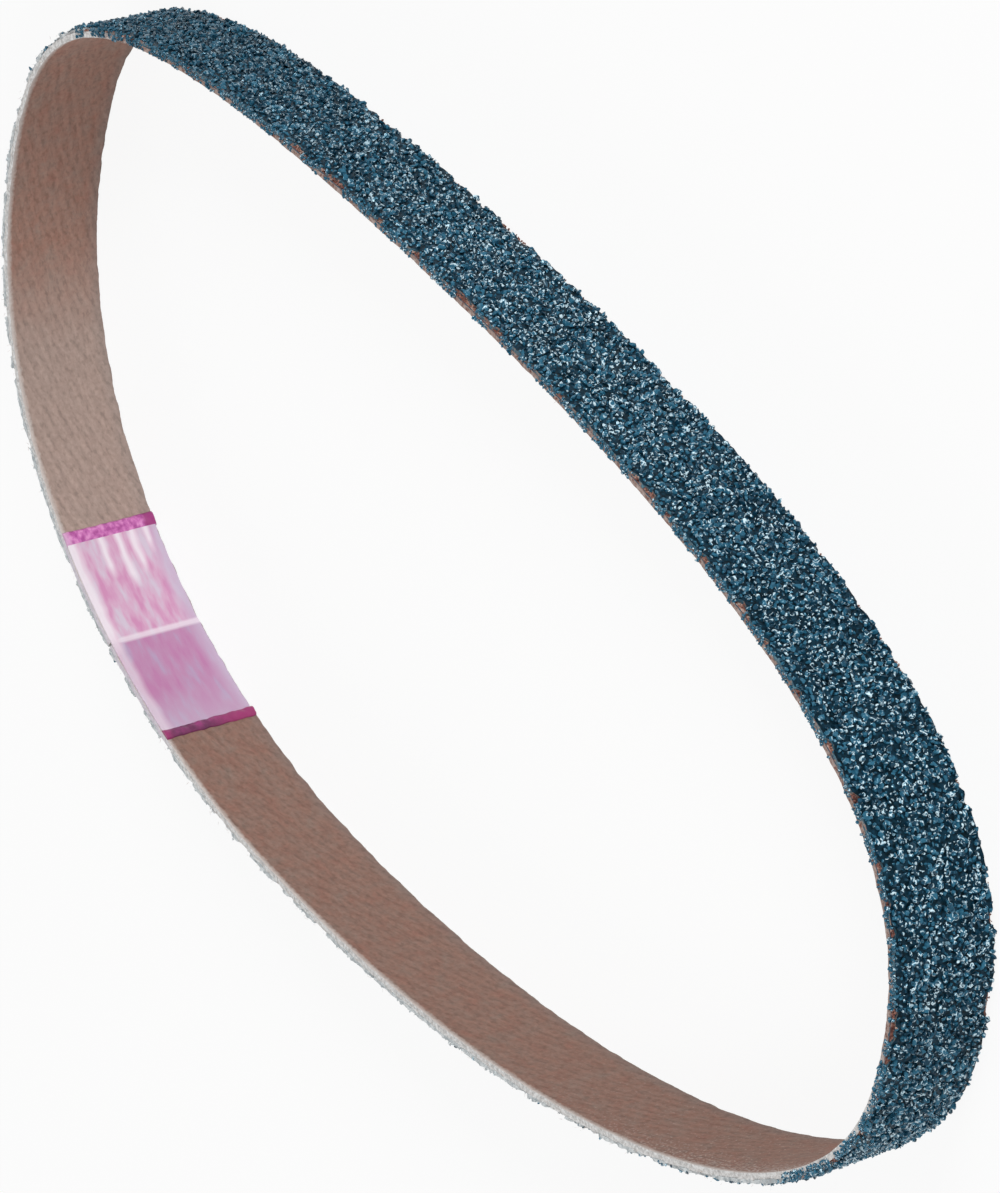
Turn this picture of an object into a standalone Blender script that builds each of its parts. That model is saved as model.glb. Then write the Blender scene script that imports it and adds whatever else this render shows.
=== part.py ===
"""A narrow sanding belt, lying slack on its edge as an open loop.

Resin-treated cloth carries a coat of abrasive grains on its outside. The cloth's two ends meet
in a butt joint, which a film tape holds together from the inside, with a line of squeezed-out
adhesive at each end of the tape. X runs along the loop, Y across it, and Z across the belt's
width. The belt rests on Z = 0, with the middle of the loop at the origin.
"""
import bisect

import bmesh
import bpy
from mathutils import Vector, geometry, noise

# The belt, in metres
BELT_LENGTH = 0.330
BELT_WIDTH = 0.010
CLOTH_THICKNESS = 0.00055
COAT_THICKNESS = 0.00050
BOND_GAP = 0.0002

# The coat's face and its broken edges
GRAIN_RELIEF = 0.00030
GRAIN_PITCH = 0.00045
COAT_SETBACK = 0.00015
CHIP_DEPTH = 0.0006
CHIP_PITCH = 0.0040

# The splice
JOINT_GAP = 0.0003
TAPE_LENGTH = 0.022
TAPE_WIDTH = 0.0094
TAPE_THICKNESS = 0.00015
GLUE_HEIGHT = 0.00030
GLUE_ROUNDING = 0.00012
PALE_LINE = 0.0013
DARK_LINE = 0.0010

# How the slack loop lies, measured on the inside of the belt
LOOP_SHORT = 0.0678
RIGHT_TIP_Y = -0.0080
BACK_SIDE_X = 0.01345
LEFT_TIP_Y = -0.0031
FRONT_SIDE_X = 0.0055
JOINT_FROM_RIGHT_TIP = 0.0481

# How far each side's curve stays beside the loop's box, from 0 for none to 1 for the corner
RIGHT_FULLNESS = 0.667
BACK_FULLNESS = 0.496
LEFT_FULLNESS = 0.571
FRONT_FULLNESS = 0.868

# Faces along the whole belt, across its width, and points to a quarter of the outline
BELT_STEPS = 300
COAT_COLUMNS = 9
QUARTER_POINTS = 400

# Faces that meet at a wider angle than this show an edge, in radians
ROUND_CREASE = 0.6
GRAIN_CREASE = 0.1

# Two places of the flat belt this close count as one
CLOSE = 0.00001

CLOTH_COLOUR = (0.262, 0.162, 0.127)
COAT_COLOUR = (0.013, 0.068, 0.124)
TAPE_COLOUR = (0.624, 0.347, 0.552)
PALE_GLUE_COLOUR = (0.565, 0.159, 0.434)
DARK_GLUE_COLOUR = (0.254, 0.030, 0.125)


def outline(long):
    """Points round the inside of a loop this long, anticlockwise from its right-hand tip."""
    right = Vector((long / 2, RIGHT_TIP_Y, 0))
    back = Vector((BACK_SIDE_X, LOOP_SHORT / 2, 0))
    left = Vector((-long / 2, LEFT_TIP_Y, 0))
    front = Vector((FRONT_SIDE_X, -LOOP_SHORT / 2, 0))
    quarters = (
        (right, RIGHT_FULLNESS, back, BACK_FULLNESS),
        (back, BACK_FULLNESS, left, LEFT_FULLNESS),
        (left, LEFT_FULLNESS, front, FRONT_FULLNESS),
        (front, FRONT_FULLNESS, right, RIGHT_FULLNESS),
    )
    points = []
    for start, start_fullness, end, end_fullness in quarters:
        tip = start if start in (right, left) else end
        side = end if tip is start else start
        corner = Vector((tip.x, side.y, 0))
        leaving = start.lerp(corner, start_fullness)
        arriving = end.lerp(corner, end_fullness)
        quarter = geometry.interpolate_bezier(start, leaving, arriving, end, QUARTER_POINTS + 1)
        points.extend(quarter[:-1])
    return points


def distance_round(points):
    """The distance from the first point to each point, and back round to the first."""
    distances = [0.0]
    for index, point in enumerate(points):
        following = points[(index + 1) % len(points)]
        distances.append(distances[-1] + (following - point).length)
    return distances


def solve_loop():
    """The outline whose inside measures the belt's length, found by halving."""
    shortest = LOOP_SHORT
    longest = BELT_LENGTH / 2
    for _ in range(40):
        middle = (shortest + longest) / 2
        if distance_round(outline(middle))[-1] < BELT_LENGTH:
            shortest = middle
        else:
            longest = middle
    return outline(longest)


LOOP = solve_loop()
LOOP_DISTANCES = distance_round(LOOP)


def wrap(flat):
    """Take a point of the flat belt to its place on the loop.

    The flat belt's x runs along it from the butt joint, y out from the cloth's inner face,
    and z across its width.
    """
    distance = (JOINT_FROM_RIGHT_TIP + flat.x) % LOOP_DISTANCES[-1]
    index = bisect.bisect_right(LOOP_DISTANCES, distance) - 1
    index = min(index, len(LOOP) - 1)
    span = LOOP_DISTANCES[index + 1] - LOOP_DISTANCES[index]
    share = (distance - LOOP_DISTANCES[index]) / span
    before, start, end, after = (LOOP[(index + step) % len(LOOP)] for step in (-1, 0, 1, 2))
    place = start.lerp(end, share)
    along = (end - before).lerp(after - start, share).normalized()
    outward = Vector((along.y, -along.x, 0))
    return place + outward * flat.y + Vector((0, 0, flat.z))


def paint(name, colour, roughness):
    """A plain finish with one colour."""
    material = bpy.data.materials.new(name)
    material.use_nodes = True
    shader = material.node_tree.nodes["Principled BSDF"]
    shader.inputs["Base Color"].default_value = (*colour, 1)
    shader.inputs["Roughness"].default_value = roughness
    shader.inputs["Metallic"].default_value = 0
    return material


def flat_strip(along, out, across, steps):
    """A flat slab of the belt between two places along it, out from it and across it."""
    strip = bmesh.new()
    bmesh.ops.create_cube(strip, size=1)
    for vert in strip.verts:
        vert.co.x = along[0] if vert.co.x < 0 else along[1]
        vert.co.y = out[0] if vert.co.y < 0 else out[1]
        vert.co.z = across[0] if vert.co.z < 0 else across[1]
    lengthwise = [e for e in strip.edges if e.verts[0].co.x != e.verts[1].co.x]
    bmesh.ops.subdivide_edges(strip, edges=lengthwise, cuts=steps - 1, use_grid_fill=True)
    return strip


def edges_across(strip, wanted):
    """The flat strip's edges that run across the belt, with both ends in a wanted place."""
    across = []
    for edge in strip.edges:
        start, end = (vert.co for vert in edge.verts)
        if abs(start.z - end.z) > CLOSE and wanted(start) and wanted(end):
            across.append(edge)
    return across


def finish(name, strip, material, collection, crease):
    """Wrap a flat strip round the loop, which mirrors it, and keep it as an object."""
    for vert in strip.verts:
        vert.co = wrap(vert.co)
    bmesh.ops.reverse_faces(strip, faces=strip.faces)
    mesh = bpy.data.meshes.new(name)
    strip.to_mesh(mesh)
    strip.free()
    mesh.shade_smooth()
    mesh.set_sharp_from_angle(angle=crease)
    mesh.materials.append(material)
    collection.objects.link(bpy.data.objects.new(name, mesh))


def steps_for(length):
    """Faces along a strip this long, as close together as on the whole belt."""
    return max(2, round(BELT_STEPS * length / BELT_LENGTH))


def cloth_backing(collection):
    """The cloth, from one side of the butt joint round to the other."""
    along = (JOINT_GAP / 2, BELT_LENGTH - JOINT_GAP / 2)
    strip = flat_strip(along, (0, CLOTH_THICKNESS), (0, BELT_WIDTH), BELT_STEPS)
    material = paint("resin-treated cloth", CLOTH_COLOUR, 0.85)
    finish("cloth_backing", strip, material, collection, ROUND_CREASE)


def abrasive_coat(collection):
    """The grains in their resin, with a rough outer face and chipped edges."""
    along = (JOINT_GAP / 2, BELT_LENGTH - JOINT_GAP / 2)
    inner = CLOTH_THICKNESS + BOND_GAP
    outer = inner + COAT_THICKNESS
    low = COAT_SETBACK
    high = BELT_WIDTH - COAT_SETBACK
    strip = flat_strip(along, (inner, outer), (low, high), BELT_STEPS)
    columns = edges_across(strip, lambda place: place.y > outer - CLOSE)
    bmesh.ops.subdivide_edges(strip, edges=columns, cuts=COAT_COLUMNS - 1, use_grid_fill=True)
    for vert in strip.verts:
        place = vert.co.copy()
        if place.y > outer - CLOSE:
            grain = noise.noise(Vector((place.x, place.z, 0)) / GRAIN_PITCH)
            vert.co.y -= GRAIN_RELIEF * (0.5 + 0.5 * grain)
        if min(place.z - low, high - place.z) < CLOSE:
            inward = 1 if place.z < BELT_WIDTH / 2 else -1
            chip = noise.noise(Vector((place.x / CHIP_PITCH, 7 * inward, 0.5)))
            vert.co.z += inward * CHIP_DEPTH * max(0, chip)
    material = paint("abrasive grains in resin", COAT_COLOUR, 0.55)
    finish("abrasive_coat", strip, material, collection, GRAIN_CREASE)


def splice_tape(collection):
    """The film over the joint, inside the loop."""
    along = (-TAPE_LENGTH / 2, TAPE_LENGTH / 2)
    out = (-BOND_GAP - TAPE_THICKNESS, -BOND_GAP)
    margin = (BELT_WIDTH - TAPE_WIDTH) / 2
    strip = flat_strip(along, out, (margin, BELT_WIDTH - margin), steps_for(TAPE_LENGTH))
    material = paint("splice film", TAPE_COLOUR, 0.35)
    finish("splice_tape", strip, material, collection, ROUND_CREASE)


def glue_line(name, collection, side, width, colour):
    """A bead of adhesive just past one end of the tape, with a rounded crown."""
    near = side * (TAPE_LENGTH / 2 + BOND_GAP)
    far = near + side * width
    out = (-BOND_GAP - GLUE_HEIGHT, -BOND_GAP)
    margin = (BELT_WIDTH - TAPE_WIDTH) / 2
    strip = flat_strip((min(near, far), max(near, far)), out, (margin, BELT_WIDTH - margin), 2)
    crown = edges_across(
        strip,
        lambda place: place.y < out[0] + CLOSE and min(abs(place.x - near), abs(place.x - far)) < CLOSE,
    )
    bmesh.ops.bevel(
        strip, geom=crown, offset=GLUE_ROUNDING, segments=3, profile=0.5, affect="EDGES"
    )
    material = paint(name.replace("_", " "), colour, 0.3)
    finish(name, strip, material, collection, ROUND_CREASE)


def main():
    for leftover in list(bpy.data.objects):
        bpy.data.objects.remove(leftover, do_unlink=True)
    belt = bpy.data.collections.new("sanding_belt")
    bpy.context.scene.collection.children.link(belt)
    cloth_backing(belt)
    abrasive_coat(belt)
    splice_tape(belt)
    glue_line("glue_line_pale", belt, -1, PALE_LINE, PALE_GLUE_COLOUR)
    glue_line("glue_line_dark", belt, 1, DARK_LINE, DARK_GLUE_COLOUR)


main()
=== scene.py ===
# %% [markdown]
# # A narrow sanding belt, lying slack on its edge
#
# A sanding belt is a strip of cloth with grit glued to one side. Its two ends are butted
# together and held by a film tape on the inside. This notebook models the belt as its maker
# would: flat first, layer by layer, and then closed into a loop. Modelling flat keeps every
# size simple, because a place along the belt is one number.

import math

import bpy
import numpy as np
from mathutils import Matrix, Vector, geometry, noise


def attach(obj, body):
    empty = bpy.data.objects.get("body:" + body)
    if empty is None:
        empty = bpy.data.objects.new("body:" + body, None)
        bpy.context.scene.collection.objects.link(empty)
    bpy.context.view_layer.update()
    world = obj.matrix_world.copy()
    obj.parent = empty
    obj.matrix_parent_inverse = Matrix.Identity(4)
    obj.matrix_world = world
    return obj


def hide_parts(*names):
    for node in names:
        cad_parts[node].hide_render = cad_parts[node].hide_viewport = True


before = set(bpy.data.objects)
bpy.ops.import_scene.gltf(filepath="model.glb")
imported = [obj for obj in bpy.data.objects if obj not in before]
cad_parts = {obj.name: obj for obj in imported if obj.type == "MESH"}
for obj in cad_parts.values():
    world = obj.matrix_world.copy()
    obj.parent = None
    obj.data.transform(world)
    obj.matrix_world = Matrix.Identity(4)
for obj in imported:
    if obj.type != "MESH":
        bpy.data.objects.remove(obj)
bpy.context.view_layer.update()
MM = 0.001

# %% [markdown]
# ## The camera
#
# The camera looks down at the loop from a low angle through a long lens, and is rolled so far
# that the belt hangs across the picture. It is set first, because it says which sides of the
# belt need the finest work: the grit on the near side and the bare cloth on the far side.

# %% Set the camera
AZIMUTH = math.radians(313.374)
ELEVATION = math.radians(32.96)
ROLL = math.radians(105.356)
LOOK_AT = Vector((-6.471, -7.451, 4.98)) * MM
CAMERA_DISTANCE = 441.96 * MM

back = Vector((0, -math.cos(ELEVATION), math.sin(ELEVATION)))
back.rotate(Matrix.Rotation(AZIMUTH, 3, "Z"))
level = (-back).cross(Vector((0, 0, 1))).normalized()
above = level.cross(-back)
picture_right = level * math.cos(ROLL) - above * math.sin(ROLL)
picture_up = level * math.sin(ROLL) + above * math.cos(ROLL)

camera = bpy.data.objects.new("camera", bpy.data.cameras.new("camera"))
bpy.context.scene.collection.objects.link(camera)
camera.data.sensor_width = 36
camera.data.lens = 159.09
camera.data.clip_start = 0.01
turn = Matrix((picture_right, picture_up, back)).transposed().to_4x4()
camera.matrix_world = Matrix.Translation(LOOK_AT + back * CAMERA_DISTANCE) @ turn
bpy.context.scene.camera = camera
bpy.context.scene.view_settings.view_transform = "Standard"
print("camera at", [round(value, 3) for value in camera.matrix_world.translation])

# %% [markdown]
# ## The loop as a guide curve
#
# A slack belt takes an uneven oval. Four Bezier points, where the loop is widest each way, are
# enough to draw it. The belt is 330 mm round its inside, so the loop's length is solved to
# give just that. The guide starts 15 mm before the butt joint and runs 15 mm past it, so that
# the tape, which bridges the joint, can be bent on the same curve as the cloth.

# %% Sizes of the belt and its loop
BELT_LENGTH = 330 * MM
BELT_WIDTH = 10 * MM
CLOTH = 0.55 * MM
RESIN = 0.30 * MM
THICKNESS = 1.25 * MM
JOINT_GAP = 0.30 * MM

LOOP_SHORT = 67.8 * MM
RIGHT_TIP_Y = -8.0 * MM
BACK_SIDE_X = 13.45 * MM
LEFT_TIP_Y = -3.1 * MM
FRONT_SIDE_X = 5.5 * MM
RIGHT_FULLNESS = 0.667
BACK_FULLNESS = 0.496
LEFT_FULLNESS = 0.571
FRONT_FULLNESS = 0.868
JOINT_FROM_RIGHT_TIP = 48.1 * MM
LEAD = 15 * MM
FIRST = LEAD + JOINT_GAP / 2
LAST = LEAD + BELT_LENGTH - JOINT_GAP / 2

# %% Solve the loop
def quarters(long):
    """The loop's four Bezier quarters, anticlockwise from its right-hand tip."""
    right = Vector((long / 2, RIGHT_TIP_Y, 0))
    rear = Vector((BACK_SIDE_X, LOOP_SHORT / 2, 0))
    left = Vector((-long / 2, LEFT_TIP_Y, 0))
    front = Vector((FRONT_SIDE_X, -LOOP_SHORT / 2, 0))
    ends = (
        (right, RIGHT_FULLNESS, rear, BACK_FULLNESS, Vector((right.x, rear.y, 0))),
        (rear, BACK_FULLNESS, left, LEFT_FULLNESS, Vector((left.x, rear.y, 0))),
        (left, LEFT_FULLNESS, front, FRONT_FULLNESS, Vector((left.x, front.y, 0))),
        (front, FRONT_FULLNESS, right, RIGHT_FULLNESS, Vector((right.x, front.y, 0))),
    )
    return [(a, a.lerp(corner, fa), b.lerp(corner, fb), b) for a, fa, b, fb, corner in ends]


def run_of(quarter):
    """The length of a Bezier quarter."""
    points = geometry.interpolate_bezier(*quarter, 400)
    return sum((b - a).length for a, b in zip(points, points[1:]))


def split(quarter, share):
    """Cut a Bezier quarter in two at a share of its parameter, by de Casteljau's rule."""
    a, b, c, d = quarter
    ab, bc, cd = a.lerp(b, share), b.lerp(c, share), c.lerp(d, share)
    abc, bcd = ab.lerp(bc, share), bc.lerp(cd, share)
    middle = abc.lerp(bcd, share)
    return (a, ab, abc, middle), (middle, bcd, cd, d)


def halve(low, high, too_small):
    """The value between low and high where too_small stops being true."""
    for _ in range(40):
        middle = (low + high) / 2
        if too_small(middle):
            low = middle
        else:
            high = middle
    return high


loop_long = halve(LOOP_SHORT, BELT_LENGTH / 2, lambda x: sum(map(run_of, quarters(x))) < BELT_LENGTH)
loop = quarters(loop_long)
starts = halve(0, 1, lambda t: run_of(split(loop[0], t)[0]) < JOINT_FROM_RIGHT_TIP - LEAD)
ends = halve(0, 1, lambda t: run_of(split(loop[0], t)[0]) < JOINT_FROM_RIGHT_TIP + LEAD)
print("loop, mm long and across:", round(loop_long / MM, 2), round(LOOP_SHORT / MM, 2))

# %% Draw the guide curve
spans = [split(loop[0], starts)[1], *loop[1:], split(loop[0], ends)[0]]
guide_data = bpy.data.curves.new("loop guide", "CURVE")
guide_data.dimensions = "3D"
guide_data.resolution_u = 200
guide_data.twist_mode = "Z_UP"
spline = guide_data.splines.new("BEZIER")
spline.bezier_points.add(len(spans))
for point in spline.bezier_points:
    point.handle_left_type = "FREE"
    point.handle_right_type = "FREE"
for index, (start, leaving, arriving, end) in enumerate(spans):
    here, following = spline.bezier_points[index], spline.bezier_points[index + 1]
    here.co, here.handle_right = start, leaving
    following.handle_left, following.co = arriving, end
spline.bezier_points[0].handle_left = spans[0][0]
spline.bezier_points[-1].handle_right = spans[-1][3]
guide = bpy.data.objects.new("loop_guide", guide_data)
bpy.context.scene.collection.objects.link(guide)
print("guide, mm:", round(sum(map(run_of, spans)) / MM, 1))

# %% [markdown]
# ## Modelling flat, then bending
#
# Every layer starts as a box on the flat belt. X runs along the belt, Z across its width, and
# Y through its thickness: the cloth's inner face is Y = 0 and the grit points to -Y. A Curve
# modifier then bends the flat piece round the guide. Before it bends, each corner of a face
# stores its flat place in millimetres as a UV, so that the weave can follow the belt.

# %% Helpers for flat pieces
def only(piece):
    """Select one object alone and make it the active one."""
    bpy.ops.object.select_all(action="DESELECT")
    piece.select_set(True)
    bpy.context.view_layer.objects.active = piece


def places(mesh):
    """The mesh's points as an array of rows."""
    flat = np.empty(len(mesh.vertices) * 3, np.float32)
    mesh.vertices.foreach_get("co", flat)
    return flat.reshape(-1, 3).astype(float)


def put(mesh, points):
    """Move the mesh's points to these places."""
    mesh.vertices.foreach_set("co", points.astype(np.float32).ravel())
    mesh.update()


def cut_edges(piece, wanted, cuts):
    """Subdivide the edges whose two ends wanted() accepts, in edit mode."""
    only(piece)
    mesh = piece.data
    pairs = np.empty(len(mesh.edges) * 2, np.int32)
    mesh.edges.foreach_get("vertices", pairs)
    points = places(mesh)
    a, b = points[pairs[0::2]], points[pairs[1::2]]
    bpy.ops.object.mode_set(mode="EDIT")
    bpy.ops.mesh.select_mode(type="EDGE")
    bpy.ops.mesh.select_all(action="DESELECT")
    bpy.ops.object.mode_set(mode="OBJECT")
    mesh.edges.foreach_set("select", wanted(a, b))
    bpy.ops.object.mode_set(mode="EDIT")
    bpy.ops.mesh.subdivide(number_cuts=cuts)
    bpy.ops.object.mode_set(mode="OBJECT")


# On the whole belt 10 x 11 x 12 rings are a quarter of a millimetre apart, and so are 40 rows
# across its width. One subdivide makes at most 100 cuts, so the rings are cut in three goes.
RINGS = (10, 11, 12)
ROWS = 40
CLOSE = 0.001 * MM


def flat_box(name, along, through, across, factors):
    """A box on the flat belt, cut along it into as many rings as the factors multiply to."""
    low = Vector((along[0], through[0], across[0]))
    high = Vector((along[1], through[1], across[1]))
    bpy.ops.object.select_all(action="DESELECT")
    bpy.ops.mesh.primitive_cube_add(size=1, location=(low + high) / 2, scale=high - low)
    piece = bpy.context.object
    piece.name = name
    piece.data.name = name
    bpy.ops.object.transform_apply(location=True, rotation=True, scale=True)
    for factor in factors:
        cut_edges(piece, lambda a, b: abs(a[:, 0] - b[:, 0]) > CLOSE, factor - 1)
    return piece


def cut_across(piece, on_face):
    """Cut the faces whose Y on_face() accepts into rows across the belt."""

    def wanted(a, b):
        return (abs(a[:, 2] - b[:, 2]) > MM) & on_face(a[:, 1]) & on_face(b[:, 1])

    cut_edges(piece, wanted, ROWS - 1)


def keep_flat_places(piece):
    """Store each corner's flat place, in millimetres, as the piece's UV map."""
    mesh = piece.data
    uv = mesh.uv_layers.get("flat_mm") or mesh.uv_layers.new(name="flat_mm")
    mesh.uv_layers.active = uv
    corners = np.empty(len(mesh.loops), np.int32)
    mesh.loops.foreach_get("vertex_index", corners)
    points = places(mesh)[corners]
    flat = np.stack([(points[:, 0] - LEAD) / MM, (points[:, 2] - points[:, 1]) / MM], 1)
    uv.uv.foreach_set("vector", flat.astype(np.float32).ravel())


def bend_round(piece):
    """Bend a flat piece round the guide and apply the bend."""
    only(piece)
    bend = piece.modifiers.new("round the loop", "CURVE")
    bend.object = guide
    bend.deform_axis = "POS_X"
    bpy.ops.object.modifier_apply(modifier=bend.name)


def rough(points, size, seed):
    """Smooth noise from -1 to 1 at flat places, with lumps of one size in metres."""
    shift = Vector((seed * 17.3, seed * 5.1, seed * 9.7))
    return np.array([noise.noise(Vector(p) / size + shift) for p in points])

# %% [markdown]
# ## Materials
#
# Colours are written as the hex values that a picture editor shows, and one function turns
# them into the linear values that shaders work in. One more function adds a node with its
# settings and its links, so that a material reads as a list of what feeds what. Inputs go by
# number: a Map Range takes the value, the two ends it comes from and the two it goes to.
#
# A noise's Scale is its lumps to the unit. The flat place is in millimetres, so a Scale of 2.5
# there gives lumps of 0.4 mm. Object coordinates are in metres, where the same is 2.5 / MM.

# %% Helpers for materials
def linear(code):
    """An sRGB hex colour as a linear RGBA tuple."""
    parts = [int(code[i : i + 2], 16) / 255 for i in (1, 3, 5)]
    return (*[p / 12.92 if p <= 0.04045 else ((p + 0.055) / 1.055) ** 2.4 for p in parts], 1)


def node(material, kind, links=None, values=None, stops=(), give=0, **settings):
    """Add a node with its settings, values, ramp stops and links, and give one output.

    A kind that is a node already made is only linked, as the shader that ends a material is.
    """
    nodes = material.node_tree.nodes
    new = nodes.new(kind) if isinstance(kind, str) else kind
    for key, value in settings.items():
        setattr(new, key, value)
    for key, value in (values or {}).items():
        new.inputs[key].default_value = value
    for _ in stops[2:]:
        new.color_ramp.elements.new(0.5)
    for index, (place, code) in enumerate(stops):
        new.color_ramp.elements[index].position = place
        new.color_ramp.elements[index].color = linear(code)
    for key, source in (links or {}).items():
        material.node_tree.links.new(source, new.inputs[key])
    return new.outputs[give] if new.outputs else None


# A Mix node has inputs for every kind of data: its colours are inputs 6 and 7 and output 2
COLOURS = {"give": 2, "data_type": "RGBA"}


def blank(name):
    """A new material with only its Principled shader, and that shader."""
    material = bpy.data.materials.new(name)
    material.use_nodes = True
    return material, material.node_tree.nodes["Principled BSDF"]

# %% [markdown]
# ## The cloth
#
# The backing is a twill: its threads pass over several others at a time, and each row steps
# one thread along, so fine diagonal ribs run steeply along the belt. The cloth is soaked in
# brown resin, so it is stiff and dull. The roll is slit to width after coating, which leaves
# the cut edges pale, with the bare cotton showing. The plate is cut into quarter-millimetre
# faces on the inside, because its ribs and its frayed rims are real shape.

# %% Cut the cloth
cloth = flat_box("woven_cloth", (FIRST, LAST), (-CLOTH, 0), (0, BELT_WIDTH), RINGS)
cut_across(cloth, lambda y: y > -CLOTH / 2)
cut_edges(cloth, lambda a, b: abs(a[:, 1] - b[:, 1]) > CLOTH / 2, 2)
keep_flat_places(cloth)
print("cloth faces:", len(cloth.data.polygons))

# %% Rib the cloth and fray its edges
RIB_PITCH = 1.0 * MM
RIB_LEAN = math.radians(18)
RIB_HEIGHT = 0.014 * MM
UNEVENNESS = 0.02 * MM
# How deep and how long the waves along each cut edge are, and how deep the fray on them
UPPER_WAVES = (0.08 * MM, 1.2 * MM)
LOWER_WAVES = (0.13 * MM, 1.4 * MM)
FRAY = 0.04 * MM
# A point this close to a face or a rim lies on it
SKIN = 0.01 * MM


def ribs(points):
    """The twill's height from 0 in the grooves to 1 on the ribs, at flat places."""
    across = points[:, 0] * math.sin(RIB_LEAN) + points[:, 2] * math.cos(RIB_LEAN)
    return 0.5 + 0.5 * np.cos(2 * math.pi * across / RIB_PITCH)


points = places(cloth.data)
face = points[:, 1] > -SKIN
points[face, 1] += RIB_HEIGHT * ribs(points[face]) + UNEVENNESS * rough(points[face], 1.5 * MM, 1)
on_upper = points[:, 2] > BELT_WIDTH - SKIN
on_lower = points[:, 2] < SKIN
for side, rim, (depth, length) in ((1, on_upper, UPPER_WAVES), (-1, on_lower, LOWER_WAVES)):
    waves = 1 + rough(points[rim] * (1, 0, 0), length, 2 + side)
    wear = depth * waves + FRAY * rough(points[rim], 0.4 * MM, 3)
    points[rim, 2] -= side * np.maximum(wear, 0)
put(cloth.data, points)
print("deepest fray above, mm:", round(float(BELT_WIDTH - points[on_upper, 2].min()) / MM, 2))
print("deepest fray below, mm:", round(float(points[on_lower, 2].max()) / MM, 2))

# %% [markdown]
# ## Where the coat has chipped
#
# Slitting the roll knocks grit and resin off both rims in small bites. One rule gives the
# depth of the bite at every place along each rim, so that the resin, the grit and the brown
# crumbs all agree about where the chips are.

# %% The chips along the rims
# Stretches of the belt, in mm from the joint: the one whose grit faces the camera, the part of
# it where the cloth's upper edge is brown, and the part where resin and grit ran over that edge
NEAR_SIDE = (104, 262)
SOAKED_EDGE = (122, 259)
RUN_OVER = (140, 256)
BIG_CHIP = 1.3 * MM
SMALL_CHIP = 0.5 * MM


def bite(along, side):
    """How far the coat is broken back from a rim, at distances along the flat belt.

    The rim is worn a little all along. Where the coarse noise passes a start, it is bitten up
    to 0.42 mm deeper. The upper rim, side 1, has a lower start than the lower rim, side -1, and
    so it has more bites.
    """
    spots = [Vector((x / BIG_CHIP, side * 11.3, 0.4)) for x in along]
    fine = [Vector((x / SMALL_CHIP, side * 23.6, 4.5)) for x in along]
    coarse = np.array([noise.noise(spot) for spot in spots])
    small = np.array([noise.noise(spot) for spot in fine])
    start = 0.14 if side > 0 else 0.20
    return MM * (0.06 + 0.10 * small + 1.6 * np.clip(coarse - start, 0, 0.26))


def on_near_side(along):
    """Which distances along the flat belt lie on the side whose grit faces the camera."""
    mm_along = (along - LEAD) / MM
    return (mm_along > NEAR_SIDE[0]) & (mm_along < NEAR_SIDE[1])


samples = np.linspace(FIRST, LAST, 2000)
print("chipped share of the upper rim:", round(float((bite(samples, 1) > 0.3 * MM).mean()), 2))

# %% [markdown]
# ## The resin that holds the grit
#
# Two coats of blue resin hold the grit: a make coat under it and a size coat over it. Between
# the grains the resin shows as small glossy pools, so its face is lumpy and wet-looking.

# %% Shape the resin
# It reaches a little way into the cloth, so that no gap shows between the two
RESIN_OVERLAP = 0.05 * MM
POOL_RELIEF = 0.10 * MM
POOL_SIZE = 0.5 * MM
through = (-CLOTH - RESIN, RESIN_OVERLAP - CLOTH)
resin = flat_box("resin_coat", (FIRST, LAST), through, (0, BELT_WIDTH), RINGS)
cut_across(resin, lambda y: y < -CLOTH)
keep_flat_places(resin)
points = places(resin.data)
face = points[:, 1] < -CLOTH - RESIN / 2
points[face, 1] += POOL_RELIEF * rough(points[face], POOL_SIZE, 5)
upper = bite(points[:, 0], 1)
lower = bite(points[:, 0], -1)
points[:, 2] = lower + points[:, 2] * (BELT_WIDTH - lower - upper) / BELT_WIDTH
put(resin.data, points)
print("resin faces:", len(resin.data.polygons))

# %% [markdown]
# ## The grit
#
# Coarse grit of about P40 is close to half a millimetre across, some six grains to the square
# millimetre, so the belt carries near 20,000 of them. A grain is a splinter with flat
# facets. A few splinters are modelled by cutting slices off a ball, and the rest are copies,
# each turned and stretched its own way. They can't be 20,000 objects, so a stretch of the
# belt gathers its copies into one mesh.

# %% Cut a few splinters
SPLINTER_KINDS = 8
SLICES = 3
dice = np.random.default_rng(40)
splinters = []
for _ in range(SPLINTER_KINDS):
    bpy.ops.object.select_all(action="DESELECT")
    bpy.ops.mesh.primitive_ico_sphere_add(subdivisions=1, radius=1)
    splinter = bpy.context.object
    bpy.ops.object.mode_set(mode="EDIT")
    for _ in range(SLICES):
        bpy.ops.mesh.select_all(action="SELECT")
        normal = dice.normal(size=3)
        normal /= np.linalg.norm(normal)
        bpy.ops.mesh.bisect(
            plane_co=tuple(normal * dice.uniform(0.22, 0.55)),
            plane_no=tuple(normal),
            use_fill=True,
            clear_outer=True,
        )
    bpy.ops.mesh.select_all(action="SELECT")
    bpy.ops.mesh.quads_convert_to_tris()
    bpy.ops.mesh.normals_make_consistent(inside=False)
    bpy.ops.object.mode_set(mode="OBJECT")
    corners = places(splinter.data)
    triangles = np.array([face.vertices[:] for face in splinter.data.polygons])
    splinters.append((corners - corners.mean(axis=0), triangles))
    bpy.data.objects.remove(splinter, do_unlink=True)
print("triangles in each splinter:", [len(triangles) for _, triangles in splinters])

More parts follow.
